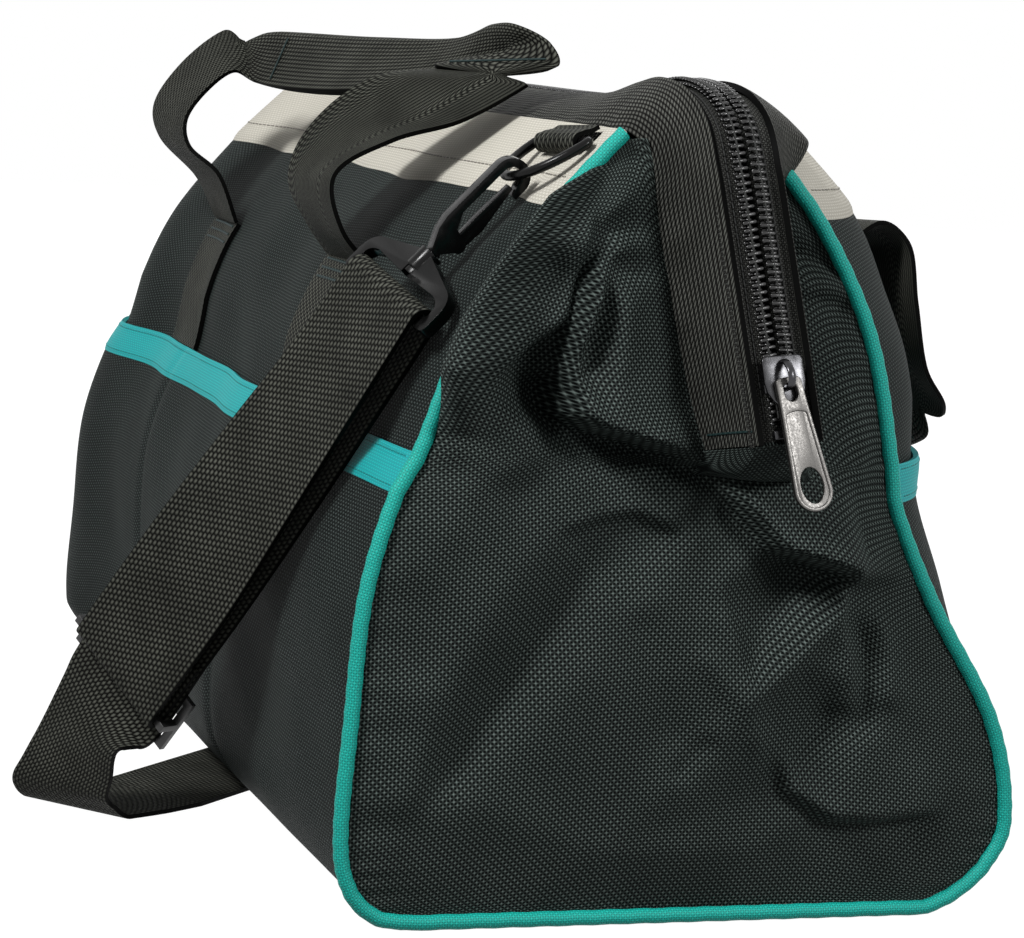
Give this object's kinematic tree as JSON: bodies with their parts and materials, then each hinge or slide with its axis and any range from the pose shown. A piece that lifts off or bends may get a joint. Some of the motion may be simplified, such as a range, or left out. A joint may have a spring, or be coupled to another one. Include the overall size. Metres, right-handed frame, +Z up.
{
  "type": "zippered tool bag",
  "caption": "Soft zippered tool bag with piped end panels, pale top band, outer pockets, coil zip with end tongues, two carry handles and a clip-on shoulder strap.",
  "frame": {"origin": "middle of the underside of the base fabric", "axes": "+Z up, +X the end with the zip pull, -Y the front with the raised handle"},
  "size_m": [0.5772, 0.3906, 0.3146],
  "materials": {
    "fabric": "coarse matt weave",
    "band": "pale matt weave",
    "trim": "woven trim, slight sheen",
    "board": "matt",
    "webbing": "coarse ribbed webbing",
    "zip_tape": "herringbone tape",
    "zip_teeth": "satin nylon coil",
    "zip_metal": "dark plated",
    "pull_metal": "satin",
    "black_metal": "gloss black",
    "plastic": "satin"
  },
  "bodies": {
    "root": {"front_panel": "fabric", "rear_panel": "fabric", "right_end_panel": "fabric", "left_end_panel": "fabric", "front_pocket": "fabric", "rear_pocket": "fabric", "base_panel": "fabric", "front_band": "band", "rear_band": "band", "front_pocket_binding": "trim", "rear_pocket_binding": "trim", "right_piping": "trim", "left_piping": "trim", "base_board": "board", "front_mouth_webbing": "webbing", "rear_mouth_webbing": "webbing", "front_handle_left_leg": "webbing", "front_handle_right_leg": "webbing", "rear_handle_left_leg": "webbing", "rear_handle_right_leg": "webbing", "front_dring_tab": "webbing", "rear_dring_tab": "webbing", "shoulder_strap_front_run": "webbing", "shoulder_strap_base_run": "webbing", "shoulder_strap_rear_run": "webbing", "front_zip_tape": "zip_tape", "rear_zip_tape": "zip_tape", "front_zip_coil": "zip_teeth", "rear_zip_coil": "zip_teeth", "left_zip_stop": "zip_metal", "right_zip_stop": "zip_metal", "front_hook_eye": "black_metal", "rear_hook_eye": "black_metal", "strap_adjuster": "plastic"},
    "slider": {"slider_body": "zip_metal"},
    "pull": {"zip_pull": "pull_metal"},
    "front_handle": {"front_handle_loop": "webbing"},
    "rear_handle": {"rear_handle_loop": "webbing"},
    "front_dring": {"front_dring": "black_metal"},
    "rear_dring": {"rear_dring": "black_metal"},
    "front_hook": {"front_hook": "black_metal"},
    "rear_hook": {"rear_hook": "black_metal"},
    "front_gate": {"front_hook_gate": "black_metal"},
    "rear_gate": {"rear_hook_gate": "black_metal"}
  },
  "joints": [
    {"name": "zip_slide", "type": "slide", "parent": "root", "child": "slider", "axis": [-0.3002, -0.1151, 0.9469], "range_m": [0, 0.06]},
    {"name": "pull_swing", "type": "hinge", "parent": "slider", "child": "pull", "pos_m": [0.27998, 0.01328, 0.19596], "axis": [0.0348, -0.9933, -0.1097], "range_deg": [0, 150]},
    {"name": "front_handle_swing", "type": "hinge", "parent": "root", "child": "front_handle", "pos_m": [0, -0.09533, 0.21811], "axis": [1, 0, 0], "range_deg": [0, 16]},
    {"name": "rear_handle_swing", "type": "hinge", "parent": "root", "child": "rear_handle", "pos_m": [0, 0.0931, 0.2188], "axis": [0.9999, 0.0143, 0], "range_deg": [0, 60]},
    {"name": "front_dring_swing", "type": "hinge", "parent": "root", "child": "front_dring", "pos_m": [0.199, -0.04557, 0.26963], "axis": [-0.9866, -0.1533, -0.0567], "range_deg": [0, 2]},
    {"name": "rear_dring_swing", "type": "hinge", "parent": "root", "child": "rear_dring", "pos_m": [-0.199, 0.04557, 0.26963], "axis": [0.9866, 0.1533, -0.0567], "range_deg": [0, 2]},
    {"name": "front_hook_swivel", "type": "hinge", "parent": "root", "child": "front_hook", "pos_m": [0.19925, -0.09403, 0.22455], "axis": [0.084, 0.6613, 0.7454], "range_deg": [-10, 10]},
    {"name": "rear_hook_swivel", "type": "hinge", "parent": "root", "child": "rear_hook", "pos_m": [-0.19925, 0.09403, 0.22455], "axis": [-0.084, -0.6613, 0.7454], "range_deg": [-10, 10]},
    {"name": "front_gate_press", "type": "hinge", "parent": "front_hook", "child": "front_gate", "pos_m": [0.19998, -0.08291, 0.23124], "axis": [0.9933, 0.0036, -0.1152], "range_deg": [0, 10], "stiffness_Nm_per_rad": 0.05, "springref_deg": -20.05},
    {"name": "rear_gate_press", "type": "hinge", "parent": "rear_hook", "child": "rear_gate", "pos_m": [-0.19998, 0.08291, 0.23124], "axis": [-0.9933, -0.0036, -0.1152], "range_deg": [0, 10], "stiffness_Nm_per_rad": 0.05, "springref_deg": -20.05}
  ]
}
